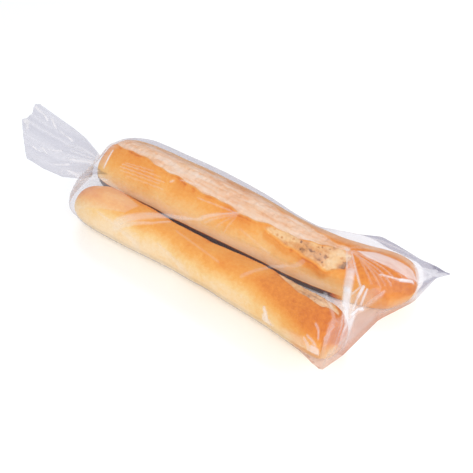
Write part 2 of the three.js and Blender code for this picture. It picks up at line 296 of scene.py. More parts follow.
def loaf_surface(loaf, cuts, x, angle):
    """Points of the crust at places x along the loaf and angles round it, and its colours.

    The section is a leaning ellipse, fuller in front and cut flat below, with the relief added
    along the radius. Points beyond the seal are pressed back to it. The colour fields are bake,
    crumb and flour, each between 0 and 1; the bake also holds painted shade and painted light."""
    y, z, half_width, half_height = loaf_lines(loaf, x)
    phi = np.radians(angle)
    radius = np.sqrt(half_width * half_height)
    inside, lip, flour, edge_dark = cut_fields(cuts, x, angle, np.maximum(radius, 1.0))
    around = stack(x, NOISE_RADIUS * np.cos(phi), NOISE_RADIUS * np.sin(phi))
    relief, pores = crust_relief(loaf["seed"], around, inside, lip, flour)
    fuller = (np.abs(np.cos(phi)) ** FULLNESS + np.abs(np.sin(phi)) ** FULLNESS) ** (-1 / FULLNESS)
    fuller = np.where(angle > 90, fuller, 1.0)
    across = half_width * np.cos(phi) * fuller
    upward = np.maximum(half_height * np.sin(phi) * fuller, -loaf["flat"] * half_height)
    length = np.maximum(np.hypot(across, upward), LEAST_LENGTH)
    scale = 1.0 + relief * smooth(radius / TIP_FADE) / length
    across, upward = across * scale, upward * scale
    lean = math.radians(loaf["lean"])
    points = stack(x, y + across * math.cos(lean) - upward * math.sin(lean),
                   z + across * math.sin(lean) + upward * math.cos(lean))
    past_seal = points[..., 0] - np.interp(points[..., 1], SEAL["y"], SEAL["x"]) + SEAL_GAP
    points[..., 0] -= SEAL_SOFTNESS * np.log1p(np.exp(past_seal / SEAL_SOFTNESS))
    points[..., 2] = np.maximum(points[..., 2], REST_HEIGHT)
    bake = crust_bake_and_shade(loaf, x, angle, around, inside, flour, edge_dark, pores)
    flour = flour + FLOUR_PATCH * pattern(around, FLOURY, loaf["seed"])
    flour = np.clip(flour, 0, 1) * inside
    dusted = DUST_ON_REAR * between(angle, *REAR_SIDE) * (1 - inside)
    return points, stack(bake, np.maximum(inside, dusted), np.maximum(flour, dusted), 1.0)


def mesh_from_grid(name, points, colours, cap=None):
    """A closed skin over rows of points, each row a closed ring.

    points is (rows, ring, 3) in the bag's millimetres. cap lists the triangles that shut the
    first ring, and turned over the last one. Without it each end is fanned to a middle point."""
    rows, ring, _ = points.shape
    row, spot = np.meshgrid(np.arange(rows - 1), np.arange(ring), indexing="ij")
    after = (spot + 1) % ring
    quads = stack(row * ring + spot, row * ring + after, (row + 1) * ring + after,
                  (row + 1) * ring + spot).reshape(-1, 4)
    spots = np.arange(ring)
    following = (spots + 1) % ring
    first, last = rows * ring, rows * ring + 1
    end = (rows - 1) * ring
    flat, spread = points.reshape(-1, 3), colours.reshape(-1, 4)
    if cap is None:
        fans = np.vstack([stack(first, following, spots),
                          stack(last, end + spots, end + following)])
        flat = np.vstack([flat, points[0].mean(axis=0), points[-1].mean(axis=0)])
        spread = np.vstack([spread, colours[0].mean(axis=0), colours[-1].mean(axis=0)])
    else:
        fans = np.vstack([cap, end + cap[:, ::-1]])
    mesh = bpy.data.meshes.new(name)
    mesh.vertices.add(len(flat))
    mesh.vertices.foreach_set("co", (flat * MM + PLACE).astype(np.float32).ravel())
    corners = np.concatenate([quads.ravel(), fans.ravel()])
    mesh.loops.add(len(corners))
    mesh.loops.foreach_set("vertex_index", corners.astype(np.int32))
    starts = np.concatenate([np.arange(len(quads)) * 4, quads.size + np.arange(len(fans)) * 3])
    mesh.polygons.add(len(starts))
    mesh.polygons.foreach_set("loop_start", starts.astype(np.int32))
    mesh.update(calc_edges=True)
    mesh.polygons.foreach_set("use_smooth", np.ones(len(starts), dtype=bool))
    layer = mesh.color_attributes.new("fields", "FLOAT_COLOR", "POINT")
    layer.data.foreach_set("color", spread.astype(np.float32).ravel())
    mesh.validate()
    piece = bpy.data.objects.new(name, mesh)
    bpy.context.scene.collection.objects.link(piece)
    return piece


def end_spacing(count, low, high, crowding):
    """Places from low to high: a share of even steps, and of a cosine that crowds at both ends."""
    even = np.linspace(0.0, 1.0, count)
    crowded = (1.0 - np.cos(np.pi * even)) / 2.0
    return mix(low, high, mix(even, crowded, crowding))


def make_loaf(name, loaf, cuts):
    """The loaf's closed mesh, with its colour fields as an attribute, and its points.

    Over each rounded tip the rows lie at squares of even steps."""
    left, right = loaf["left"] + TIP_GAP, loaf["right"] - TIP_GAP
    x = end_spacing(LOAF_ROWS, left, right, LOAF_CROWDING)
    tip = TIP_REACH * np.linspace(0, 1, TIP_ROWS) ** 2
    middle = x[(x > left + TIP_REACH) & (x < right - TIP_REACH)]
    x = np.concatenate([left + tip, middle, (right - tip)[::-1]])
    angle = np.linspace(-90.0, 270.0, LOAF_RING, endpoint=False)
    grid_x, grid_angle = np.meshgrid(x, angle, indexing="ij")
    points, colours = loaf_surface(loaf, cuts, grid_x, grid_angle)
    return mesh_from_grid(name, points, colours), points


def connect(tree, socket, value):
    """Links another node's output to a socket, or sets the socket to a plain value."""
    if isinstance(value, bpy.types.NodeSocket):
        tree.links.new(value, socket)
    else:
        socket.default_value = value


def fill(tree, made, **sockets):
    """Links or sets a node's inputs by name."""
    for key, value in sockets.items():
        connect(tree, made.inputs[key.replace("_", " ")], value)
    return made


def node(tree, kind, **sockets):
    """Adds a shader node of that kind with its inputs by name."""
    return fill(tree, tree.nodes.new("ShaderNode" + kind), **sockets)


def noise(tree, place, scale, detail, roughness):
    """The strength of a noise texture at a place."""
    made = node(tree, "TexNoise", Vector=place, Scale=scale, Detail=detail, Roughness=roughness)
    return made.outputs["Fac"]


def ramp(tree, source, stops):
    """A colour ramp over a value, from (place, sRGB 0-255 colour) stops."""
    made = node(tree, "ValToRGB", Fac=source)
    while len(made.color_ramp.elements) < len(stops):
        made.color_ramp.elements.new(0.5)
    for element, (place, colour) in zip(made.color_ramp.elements, stops):
        element.position = place
        shares = [value / 255.0 for value in colour]
        element.color = [value / 12.92 if value <= 0.04045 else ((value + 0.055) / 1.055) ** 2.4
                         for value in shares] + [1.0]
    return made.outputs["Color"]


def maths(tree, operation, first, second, clamp=False):
    """A Math node on two values or sockets."""
    made = node(tree, "Math")
    made.operation = operation
    made.use_clamp = clamp
    connect(tree, made.inputs[0], first)
    connect(tree, made.inputs[1], second)
    return made.outputs[0]


def mix_colours(tree, share, first, second, blend="MIX"):
    """A Mix node between two colours, each a socket or an RGBA tuple."""
    made = node(tree, "Mix")
    made.data_type = "RGBA"
    made.blend_type = blend
    for key, value in ((("Factor", "VALUE"), share), (("A", "RGBA"), first),
                       (("B", "RGBA"), second)):
        connect(tree, next(s for s in made.inputs if (s.name, s.type) == key), value)
    return next(s for s in made.outputs if s.type == "RGBA")


def new_material(name):
    """A material, its nodes, the object's own coordinates and the three colour fields."""
    material = bpy.data.materials.new(name)
    material.use_nodes = True
    tree = material.node_tree
    place = node(tree, "TexCoord").outputs["Object"]
    fields = node(tree, "Attribute")
    fields.attribute_name = "fields"
    split = node(tree, "SeparateColor", Color=fields.outputs["Color"])
    return material, tree, place, list(split.outputs)


# Colours of the crust by its bake, whose dark end also colours the painted shade where the loaves
# face each other, of the crumb by its bake, whose dark end also colours the painted shade in its
# pores, and of the flour by its streaks.
CRUST_COLOURS = [
    (0.0, (250, 221, 178)), (0.2, (245, 201, 132)), (0.42, (240, 170, 82)),
    (0.62, (230, 142, 52)), (0.82, (196, 98, 34)), (0.98, (72, 38, 20)),
]
CRUMB_COLOURS = [
    (0.0, (242, 218, 178)), (0.4, (236, 194, 136)), (0.75, (214, 150, 86)), (1.0, (128, 84, 50)),
]
FLOUR_COLOURS = [
    (0.3, (220, 160, 122)), (0.45, (234, 190, 160)), (0.58, (238, 210, 190)),
    (0.75, (238, 222, 212)),
]


def crust_material(name):
    """Baked crust: colour by the bake field, with floury crumb in the cuts and fine mottling."""
    material, tree, place, (bake, inside, flour) = new_material(name)
    mottle = noise(tree, place, 260.0, 5.0, 0.6)
    speckle = noise(tree, place, 1500.0, 3.0, 0.7)
    shift = maths(tree, "MULTIPLY", maths(tree, "SUBTRACT", mottle, 0.5), 0.30)
    fine = maths(tree, "MULTIPLY", maths(tree, "SUBTRACT", speckle, 0.5), 0.22)
    tone = maths(tree, "ADD", maths(tree, "ADD", bake, shift), fine, clamp=True)
    crust = ramp(tree, tone, CRUST_COLOURS)
    grain = maths(tree, "MULTIPLY", maths(tree, "ADD", fine, shift), 2.0)
    crumb = ramp(tree, maths(tree, "ADD", bake, grain, clamp=True), CRUMB_COLOURS)
    stretch = node(tree, "Mapping", Vector=place, Scale=(0.22, 1.0, 1.0))
    streak = noise(tree, stretch.outputs["Vector"], 150.0, 4.0, 0.6)
    dusting = maths(tree, "ADD", streak, maths(tree, "MULTIPLY", fine, 0.5))
    powder = ramp(tree, dusting, FLOUR_COLOURS)
    crumb = mix_colours(tree, maths(tree, "MULTIPLY", flour, 0.8), crumb, powder)
    height = maths(tree, "ADD", maths(tree, "MULTIPLY", mottle, 0.7),
                   maths(tree, "MULTIPLY", speckle, 0.4))
    bump = node(tree, "Bump", Strength=0.35, Distance=0.0006, Height=height)
    fill(tree, tree.nodes["Principled BSDF"],
         Base_Color=mix_colours(tree, inside, crust, crumb),
         Roughness=maths(tree, "ADD", maths(tree, "MULTIPLY", inside, 0.25), 0.55),
         Specular_IOR_Level=0.2, Normal=bump.outputs["Normal"])
    return material


crust = crust_material("baked_crust")
loaf_surfaces = []
for loaf_name, loaf, cuts in (("baguette_rear", REAR, REAR_CUTS),
                              ("baguette_front", FRONT, FRONT_CUTS)):
    piece, surface = make_loaf(loaf_name, loaf, cuts)
    piece.data.materials.append(crust)
    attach(piece, "root")
    loaf_surfaces.append(surface)

# ----------------------------
# The bag: a flat tube of thin clear film, sealed straight across at the right end, filled, and
# gathered into a neck at the left end, beyond which it opens out into a crumpled fan.
FILM_MARGIN = 0.8  # the film's play over the crust
TAUT_FALL = 2.4  # how steeply taut film can fall beyond a loaf's end
VALLEY_DEPTH, VALLEY_SHARE = 24.0, 0.45  # between the loaves it sinks by this share of the gap
SLACK = dict(start=-185, end=95, height=4.6, angle=36)
# The film on the ground: its edges, its two layers' thickness, and where it draws in to the neck.
STRIP = dict(front_y=-46, rear_y=66, thickness=2, left=-120)
# The rear flap: a loose edge of film that leaves the rear loaf and runs down to the seal.
FLAP = dict(x=(40, 75, 100, 122, 142, 160, 184, 200, 216),
            y=(60, 66, 70, 74, 86, 94, 101, 106, 109),
            z=(24, 33, 38, 41, 38.5, 27, 14, 9, 2))
NECK = dict(x=-192, y=20.5, z=20, half_width=15, half_height=8, slant=-0.48, gather=34)
SHOULDER = dict(start=-150, end=-190, y=-24, z=27, half_width=32, half_height=25)
SHOULDER_PLEATS = dict(count=17, height=1.1, reach=42)
# The tail's two sides, from the neck to its far edge, and how far that edge stands off the
# straight line between them, by the share from front to rear.
TAIL_SHARE = (0, 0.18, 0.42, 0.74, 1)
TAIL_REAR = dict(x=(-199, -226, -254, -291, -322), y=(35.5, 46, 55, 63, 70),
                 z=(20, 22, 20, 18, 16))
TAIL_FRONT = dict(x=(-185, -193, -216, -246, -273), y=(5.5, -3, -12, -12, -8),
                  z=(20, 17, 14, 12, 11))
TAIL_EDGE = dict(share=(0, 0.06, 0.15, 0.35, 0.58, 0.74, 0.93, 1),
                 x=(0, 1, -5.6, -13, -20.6, -10, -6.5, 0),
                 y=(0, -5, -2.7, -2, -1.2, -0.7, 0.5, 0))
# The tail's folds, each kind by count, seed and height: those that both layers share, then the
# upper and the lower layer's own. Crumples are broader lumps, by size, seed and height.
SHARED_FOLDS = ((13, 5, 0.65), (31, 6, 0.22))
UPPER_FOLDS = ((23, 7, 0.25), (47, 8, 0.11))
LOWER_FOLDS = ((19, 9, 0.25),)
FOLD_RISE, LEAST_GAP = (3.2, 1.4), 0.25
CRUMPLE, LOWER_CRUMPLE = (17.0, 31, 2.0), (11.0, 41, 0.8)
# Creases in the film, each as (x, y) from and to, half width and lift in tenths of a millimetre,
# and haze in hundredths, which is milky whitening and a painted highlight along the crease: the
# right end's star of folds, those over the loaves, the tail's.
CREASES = [
    (124, 41, 142, 17, 22, 16, 30), (142, 15, 151, -9, 38, 22, 60),
    (151, -9, 161, -31, 34, 24, 85), (161, -31, 169, -44, 20, 16, 80),
    (124, 40, 148, -4, 9, 8, 45), (148, -4, 161, -35, 9, 9, 35), (161, -35, 168, -52, 9, 9, 35),
    (130, 39, 148, 15, 9, 8, 50), (148, 15, 160, 1, 10, 9, 50), (160, 1, 158, -14, 9, 9, 40),
    (162, 4, 164, -12, 13, 14, 80), (164, -12, 167, -27, 9, 10, 60), (166, 4, 170, -17, 9, 9, 70),
    (169, -33, 170, -23, 9, 12, 90), (170, -23, 173, -17, 10, 12, 90),
    (171, -30, 170, -45, 9, 10, 50), (126, 41, 181, 27, 8, 9, 30), (128, 40, 177, 22, 8, 9, 22),
    (130, 42, 175, 16, 9, 9, 25), (132, 42, 182, 34, 8, 9, 25), (140, 36, 166, 12, 8, 8, 20),
    (136, 44, 190, 42, 9, 10, 20), (168, 27, 185, 37, 9, 12, 55), (185, 37, 196, 49, 10, 12, 85),
    (125, 43, 150, 62, 10, 9, 12), (150, 62, 186, 72, 12, 8, 12), (109, 70, 132, 76, 12, 8, 25),
    (132, 76, 150, 84, 12, 10, 25), (150, 84, 190, 102, 12, 12, 30),
    (190, 64, 212, 104, 14, 16, 55), (198, 56, 203, 84, 12, 14, 65),
    (188, 66, 204, 98, 14, 12, 45), (179, 18, 175, 1, 10, 10, 30), (175, 1, 172, -18, 9, 8, 25),
    (138, -31, 160, -52, 16, 12, 22), (160, -52, 162, -66, 20, 12, 25),
    (160, -52, 169, -49, 12, 8, 20), (143, -78, 152, -81, 8, 4, 30),
    (152, -80, 160, -79, 9, 4, 45), (145, -76, 156, -78, 7, 3, 30), (163, -57, 161, -71, 9, 6, 35),
    (-60, -69, 144, -81, 24, 1, 16), (148, -66, 153, -69, 10, 5, 30),
    (153, -69, 156, -74, 8, 4, 35), (94, -70, 101, -75, 10, 5, 55), (101, -75, 116, -78, 8, 4, 50),
    (97, -73, 99, -77, 22, 3, 45), (-93, -60, -63, -36, 42, 6, 30),
    (-63, -36, -36, -16, 34, 7, 30), (-36, -16, -8, 7, 19, 7, 30), (-8, 7, 7, 18, 10, 6, 34),
    (-90, -62, -57, -45, 16, 6, 25), (-57, -45, -44, -33, 12, 6, 25),
    (-90, -56, -60, -30, 8, 5, 20), (59, -55, 76, -28, 18, 5, 14), (76, -28, 95, 1, 24, 7, 17),
    (8, 17, -18, -8, 9, 5, 20), (8, 17, -4, -6, 8, 5, 15), (8, 17, 6, -10, 8, 4, 12),
    (8, 17, -40, 12, 8, 4, 20), (-165, 24, -157, -2, 8, 12, 75), (-175, 14, -180, 34, 26, 9, 30),
    (-180, 34, -169, 30, 16, 8, 30), (-172, 27, -160, 0, 20, 7, 18), (-140, 10, -92, 15, 7, 5, 22),
    (-140, 6, -84, 11, 7, 5, 22), (-136, 2, -88, 7, 7, 5, 18), (-138, 13, -104, 18, 7, 5, 18),
    (-126, -1, -80, 3, 7, 4, 15), (-78, 15, -76, 18, 12, 2, 35), (-70, 22, -50, 28, 8, 4, 25),
    (-158, -42, -150, -30, 9, 6, 30), (-140, -38, -136, -28, 8, 5, 30),
    (-168, -30, -156, -20, 12, 14, 30), (-156, -20, -141, -21, 14, 16, 30),
    (-172, -14, -160, -8, 10, 12, 30), (-120, -58, -60, -66, 9, 4, 15),
    (-40, -60, 20, -72, 9, 4, 12), (-30, -40, 30, -52, 10, 4, 10), (20, 2, 60, -6, 10, 4, 10),
    (-321, 60, -306, 56, 12, 6, 95), (-303, 55, -291, 49, 10, 6, 95),
    (-288, 53, -272, 43, 11, 6, 95), (-265, 42, -239, 35, 13, 6, 85), (-279, 8, -269, 6, 9, 6, 95),
    (-269, 6, -266, 11, 9, 6, 95), (-266, 11, -255, 6, 9, 6, 95), (-259, 12, -241, 17, 10, 6, 95),
    (-236, -3, -217, 3, 10, 6, 85), (-221, 10, -189, 15, 10, 5, 85),
    (-214, -5, -174, -3, 10, 5, 85), (-229, 21, -196, 20, 9, 5, 50),
    (-318, 38, -309, 33, 26, 6, 95), (-309, 33, -304, 26, 16, 6, 85),
    (-220, -10, -217, -4, 10, 4, 50), (-246, 26, -204, 24, 9, 5, 35),
    (-164, -33, -158, -22, 14, 10, 40), (-158, -22, -139, -18, 16, 10, 40),
]
# Broad white patches, each a haze and the corners (x, y) that it fills, in turn to the left. The
# first two are painted highlights, on the rear loaf's right end and beyond its tip.
HAZE_AND_HIGHLIGHT_PATCHES = [
    (0.62, (133, 44), (147, 41), (164, 41), (179, 42), (191, 46), (198, 55), (190, 58), (150, 53)),
    (0.45, (198, 54), (207, 98), (199, 92), (188, 66)),
    (0.16, (-168, -40), (-150, -62), (-90, -48), (-84, -33), (-140, -16), (-160, -22)),
    (0.04, (166, 8), (176, 10), (196, 40), (190, 44), (170, 27), (160, 18)),
    (0.12, (157, -60), (164, -64), (168, -50), (170, -38), (163, -44)),
    (0.16, (166, -62), (180, 16), (172, 14), (160, -10), (160, -30)),
    (0.14, (-184, 2), (-158, -2), (-164, 22), (-170, 36), (-190, 34)),
]
CREASE_FOOT, CREASE_HAZE_AND_HIGHLIGHT = 1.8, 1.6  # where its lift and haze end, in half widths
# The soft borders of the white patches and of the painted warm shade.
PATCH_BORDER, PAINTED_BOUNCE_BORDER = 1.6, 14.0
# Patches of film painted with the crust's colour where it stands close beside the loaves' ends:
# painted shade warmed by the crust's bounce light and reflection.
PAINTED_BOUNCE = [
    (0.9, (130, -110), (180, -110), (182, -52), (166, -40), (130, -62)),
    (0.85, (160, -50), (190, -50), (212, 52), (188, 44), (166, 0)),
]
# How grey the film is: over the bare ground, less between the loaves (their middle lines and
# from where on) and at the neck, on the slack film behind the rear loaf, and on the under side.
BETWEEN_LOAVES, BETWEEN_START, BETWEEN_CLEAR = (-40, 36, 12, 12), (-160, -130), 0.85
NECK_CLEAR = dict(share=0.4, x=(-175, -145), gathered=0.6)
SLACK_GREY = dict(share=0.45, y=(44, 54), x=(110, 80))
TAIL_GREY, PLEAT_GREY = 0.245, 0.18
UNDER_GREY = (0.21, 0.31)  # the body's, then the tail's
LOAF_EDGE, LOAF_BORDER = 8.0, 6.0  # film over loaf lower than this counts as bare
PAINTED_BOUNCE_OVER_LOAF = 0.7  # how much of the warm tint is left off over a loaf

TAIL_STATIONS, BODY_STATIONS = 86, 346
ACROSS, BELOW = 156, 52  # points across the upper and the lower film
BODY_CROWDING, EDGE_CROWDING = 0.45, 0.55
# The lines that touch each section, from above or from below, face in these directions.
DIRECTIONS = 90
TURNS = np.pi * (np.arange(DIRECTIONS) + 0.5) / DIRECTIONS
NOWHERE = -1e3  # the reach of what isn't at a station
SMOOTHING = 4
HEIGHT_CORNER, HEIGHT_CELLS = np.array([-230.0, -110.0]), (470, 240)


def body_x(x, y):
    """Sections stand across the bag, but turn into the slanted neck and the seal's line."""
    turn = rise(x, SEAL["start"], SEAL["station"])
    at_neck = rise(x, SHOULDER["start"], NECK["x"]) ** 2
    offset = np.clip(y - NECK["y"], -NECK["half_width"], NECK["half_width"])
    return x + turn * (np.interp(y, SEAL["y"], SEAL["x"]) - SEAL["station"]) \
        + at_neck * NECK["slant"] * offset


def ellipse_reach(y, z, half_width, half_height, dy, dz):
    """How far an upright ellipse reaches in the direction (dy, dz)."""
    return y * dy + z * dz + np.hypot(half_width * dy, half_height * dz)


def zigzag(turns):
    """Straight folds between -1 and 1, with slightly rounded crests."""
    return 0.75 * (2 / np.pi) * np.arcsin(np.sin(2 * np.pi * turns)) \
        + 0.25 * np.sin(2 * np.pi * turns)


def stations_of(x, y):
    """The station whose section passes through (x, y), found by stepping towards it."""
    station = x
    for _ in range(12):
        station = station + x - body_x(station, y)
    return station


def loaf_reach(clouds, stations, dy, dz):
    """How far the loaves' points reach in each direction (dy, dz) at each station.

    Past a loaf's end the reach falls off evenly, because taut film can't drop all at once."""
    found = np.full((len(stations), len(dy)), NOWHERE)
    for cloud in clouds:
        x, y, z = cloud.reshape(-1, 3).T
        spot = np.clip(np.searchsorted(stations, stations_of(x, y)), 0, len(stations) - 1)
        order = np.argsort(spot, kind="stable")
        spot, y, z = spot[order], y[order, None], z[order, None]
        starts = np.flatnonzero(np.diff(spot, prepend=-1))
        reach = np.maximum.reduceat(y * dy + z * dz, starts, axis=0)
        found[spot[starts]] = np.maximum(found[spot[starts]], reach)
    for _ in range(2):
        padded = np.pad(found, ((1, 1), (0, 0)), mode="edge")
        found = np.maximum(found, np.maximum(padded[:-2], padded[2:]))
    step = np.diff(stations)[:, None]
    taut = found.copy()
    for k in range(1, len(stations)):
        taut[k] = np.maximum(taut[k], taut[k - 1] - TAUT_FALL * step[k - 1])
    for k in range(len(stations) - 2, -1, -1):
        taut[k] = np.maximum(taut[k], taut[k + 1] - TAUT_FALL * step[k])
    return found, taut


def section_reach(clouds, stations):
    """How far the film reaches at each station, in even directions over it and then under it.

    It is the greatest reach of the loaves, the shoulder, the rear flap and the strip of film on
    the ground, with the slack behind the rear loaf. The last two columns are straight to the
    front and to the rear."""
    dy = np.concatenate([np.cos(TURNS), np.cos(TURNS), [-1.0, 1.0]])
    dz = np.concatenate([np.sin(TURNS), -np.sin(TURNS), [0.0, 0.0]])
    found, taut = loaf_reach(clouds, stations, dy, dz)
    x = stations[:, None]
    share = np.clip((SHOULDER["start"] - x) / (SHOULDER["start"] - SHOULDER["end"]), 0, 1)
    t = 1 - np.sqrt(np.maximum(1 - share ** 3, 0))
    shoulder = ellipse_reach(*(mix(SHOULDER[key], NECK[key], t) for key in
                               ("y", "z", "half_width", "half_height")), dy, dz)
    flap_station = stations_of(np.array(FLAP["x"]), np.array(FLAP["y"]))
    flap_y, flap_z = (np.interp(x, flap_station, FLAP[key]) for key in "yz")
    flap = np.where(x > flap_station[0], flap_y * dy + flap_z * dz, NOWHERE)
    flare = rise(x, SEAL["flare"], SEAL["station"]) ** 1.5
    to_neck = rise(x, STRIP["left"], SHOULDER["end"])
    strip_front = mix(mix(STRIP["front_y"], SEAL["y"][0], flare), NECK["y"], to_neck)
    strip_rear = mix(mix(STRIP["rear_y"], SEAL["y"][-1], flare), NECK["y"], to_neck)
    lift = (NECK["z"] - STRIP["thickness"] / 2) * to_neck
    strip = np.maximum(strip_front * dy, strip_rear * dy) + dz * lift \
        + np.maximum(dz, 0) * STRIP["thickness"]
    reach = np.maximum(strip, np.where(x < SHOULDER["start"], shoulder, NOWHERE))
    reach = np.maximum(reach, flap)
    room = np.minimum(x - NECK["x"], SEAL["station"] - x)
    taut = np.minimum(taut, reach + TAUT_FALL * room)
    facing = math.radians(SLACK["angle"])
    loose = np.maximum(dy * math.cos(facing) + dz * math.sin(facing), 0) ** 6
    span = (x - SLACK["start"]) / (SLACK["end"] - SLACK["start"])
    slack = SLACK["height"] * smooth(span * 6) * smooth((1 - span) * 2) * loose
    reach = np.maximum(reach, np.maximum(taut, found) + FILM_MARGIN + slack)
    for _ in range(SMOOTHING):
        padded = np.pad(reach, ((1, 1), (0, 0)), mode="edge")
        reach = (padded[:-2] + 2 * reach + padded[2:]) / 4
    return reach


def body_points(x, v, reach, heights):
    """Top and bottom of the bag's body at stations x and shares v across, -1 front to 1 rear.

    The top is the least height over all the lines that touch the section from above, the bottom
    the greatest over those from below. Between the loaves the top sinks towards them by a share
    of the gap, and at the neck it is pleated."""
    dy, dz = np.cos(TURNS), np.sin(TURNS)
    x = x[:, None]
    up, down = reach[:, None, :DIRECTIONS], reach[:, None, DIRECTIONS:2 * DIRECTIONS]
    y = mix(-reach[:, -2:-1], reach[:, -1:], (v + 1) / 2)
    top = np.min((up - dy * y[..., None]) / dz, axis=-1)
    bottom = np.maximum(np.max((dy * y[..., None] - down) / dz, axis=-1), 0.0)
    seal_lift = np.interp(y, SEAL["y"], SEAL["z"]) * rise(x, SEAL["lift_start"], SEAL["station"])
    bottom = np.maximum(bottom, seal_lift)
    top = np.maximum(top, seal_lift + STRIP["thickness"])
    placed = body_x(x, y)
    gap = np.maximum(top - height_at(heights, placed, y), 0)
    to_neck = rise(x, STRIP["left"], SHOULDER["end"])
    free = smooth((1 - np.abs(v)) * 5) * (1 - to_neck) * smooth((SEAL["station"] - x) / 60)
    top = top - VALLEY_SHARE * VALLEY_DEPTH * (1 - np.exp(-gap / VALLEY_DEPTH)) * free
    near_neck = smooth(1 - (x - NECK["x"]) / SHOULDER_PLEATS["reach"])
    pleat = zigzag(SHOULDER_PLEATS["count"] * (v + 1) / 2 + 0.13 * np.sin(9 * v)) * (1 - v * v)
    top = top + SHOULDER_PLEATS["height"] * near_neck * pleat
    return placed, y, np.maximum(top, bottom + 0.3), bottom


def patch_share(x, y, corners, border):
    """One inside the convex patch with these corners, zero outside, with a soft border."""
    inside = np.full_like(x, np.inf)
    for (x0, y0), (x1, y1) in zip(corners, corners[1:] + corners[:1]):
        side = ((y - y0) * (x1 - x0) - (x - x0) * (y1 - y0)) / math.hypot(x1 - x0, y1 - y0)
        inside = np.minimum(inside, side)
    return smooth(inside / border + 0.5)


def crease_fields(x, y):
    """The lift of the creases in millimetres, and the haze and painted highlights of creases and
    patches at (x, y).

    A crease is highest on its line, falls to its edges as a tent and runs out towards its ends."""
    lift, haze_and_highlight = np.zeros_like(x), np.zeros_like(x)
    for x0, y0, x1, y1, width, height, whiteness in CREASES:
        length = math.hypot(x1 - x0, y1 - y0)
        along_x, along_y = (x1 - x0) / length, (y1 - y0) / length
        down = (x - x0) * along_x + (y - y0) * along_y
        off = np.abs((y - y0) * along_x - (x - x0) * along_y)
        beyond = np.maximum(np.maximum(-down, down - length), 0)
        ends = np.clip(1.2 - 0.35 * np.abs(2 * down / length - 1) ** 2, 0, 1)
        away = np.hypot(off, beyond) / (width / 10)
        lift = np.maximum(lift, height / 10 * np.maximum(1 - away / CREASE_FOOT, 0) * ends)
        # Painted highlight: the haze along a crease also stands for the light that the crease
        # catches.
        haze_and_highlight = np.maximum(haze_and_highlight, whiteness / 100 * smooth(CREASE_HAZE_AND_HIGHLIGHT - away) * ends)
    for whiteness, *corners in HAZE_AND_HIGHLIGHT_PATCHES:
        # Painted highlight: some patches stand for the light caught by broad facets of film.
        haze_and_highlight = np.maximum(haze_and_highlight, whiteness * patch_share(x, y, corners, PATCH_BORDER))
    return lift, haze_and_highlight


def folds(v, kinds):
    """The sum of random zigzags over v: straight flanks between uneven crests."""
    total = 0.0
    for count, seed, height in kinds:
        rng = np.random.default_rng(seed)
        places = np.cumsum(rng.uniform(0.5, 1.5, count + 2))
        places = (places - places[0]) / (places[-1] - places[0]) * 2 - 1
        crests = rng.uniform(0.45, 1.0, count + 2) * np.where(np.arange(count + 2) % 2, 1, -1)
        total = total + height * np.interp(v, places, crests)
    return total


def tail_points(t, v):
    """Top and bottom layer of the tail: radial pleats that open from the neck to the far edge."""
    t, v = np.meshgrid(t, v, indexing="ij")
    share = (v + 1) / 2
    rear, front = ({key: np.interp(t, TAIL_SHARE, side[key]) for key in "xyz"}
                   for side in (TAIL_REAR, TAIL_FRONT))
    outward = smooth(t) ** 1.6
    edge_x, edge_y = (np.interp(share, TAIL_EDGE["share"], TAIL_EDGE[key]) for key in "xy")
    x = mix(front["x"], rear["x"], share) + edge_x * outward
    y = mix(front["y"], rear["y"], share) + edge_y * outward
    z = mix(front["z"], rear["z"], share)
    rounded = np.sqrt(np.maximum(1 - np.abs(v) ** mix(2.0, 9.0, smooth(t * 3)), 0))
    thick = mix(NECK["half_height"], STRIP["thickness"], smooth(t * 1.8)) * rounded
    inner = 1 - v ** 8
    rise = smooth(t * 1.3) * mix(*FOLD_RISE, t) * inner
    where = stack(x, y, 0.0)
    size, seed, height = CRUMPLE
    crumple = height * rough_noise(where, size, seed, 3) * smooth(t * 2) * inner
    size, seed, height = LOWER_CRUMPLE
    lower_crumple = height * rough_noise(where, size, seed, 2) * smooth(t * 3) * inner
    shared = folds(v, SHARED_FOLDS)
    top = z + thick + rise * (shared + folds(v, UPPER_FOLDS)) + crumple
    bottom = z - thick + rise * (shared + folds(v, LOWER_FOLDS)) + crumple + lower_crumple
    bottom = np.maximum(np.minimum(bottom, top - LEAST_GAP), 0.3)
    return x, y, np.maximum(top, bottom + 0.2), bottom


def loaf_heights(clouds):
    """The loaves' height in each millimetre square, spread twice to the highest of the squares
    round it and then evened out three times by their mean."""
    heights = np.zeros(HEIGHT_CELLS)
    for cloud in clouds:
        cell = np.round(cloud[..., :2].reshape(-1, 2) - HEIGHT_CORNER).astype(int)
        np.maximum.at(heights, (cell[:, 0], cell[:, 1]), cloud[..., 2].ravel())
    across, deep = HEIGHT_CELLS
    for gather, border in [(np.max, "constant")] * 2 + [(np.mean, "edge")] * 3:
        padded = np.pad(heights, 1, mode=border)
        near = [padded[i:i + across, j:j + deep] for i in range(3) for j in range(3)]
        heights = gather(near, axis=0)
    return heights


def height_at(heights, x, y):
    """The loaves' height at (x, y), blended between the four squares round each place."""
    right, rear = (np.clip(value - corner, 0, cells - 1.1) for value, corner, cells in
                   zip((x, y), HEIGHT_CORNER, HEIGHT_CELLS))
    i, j = right.astype(int), rear.astype(int)
    front_row = mix(heights[i, j], heights[i + 1, j], right - i)
    rear_row = mix(heights[i, j + 1], heights[i + 1, j + 1], right - i)
    return mix(front_row, rear_row, rear - j)


def painted_bounce_share(x, y):
    """The strongest of the patches of painted warm shade and bounce light at (x, y)."""
    return np.max([bounce_share * patch_share(x, y, corners, PAINTED_BOUNCE_BORDER) for bounce_share, *corners in PAINTED_BOUNCE],
                  axis=0)


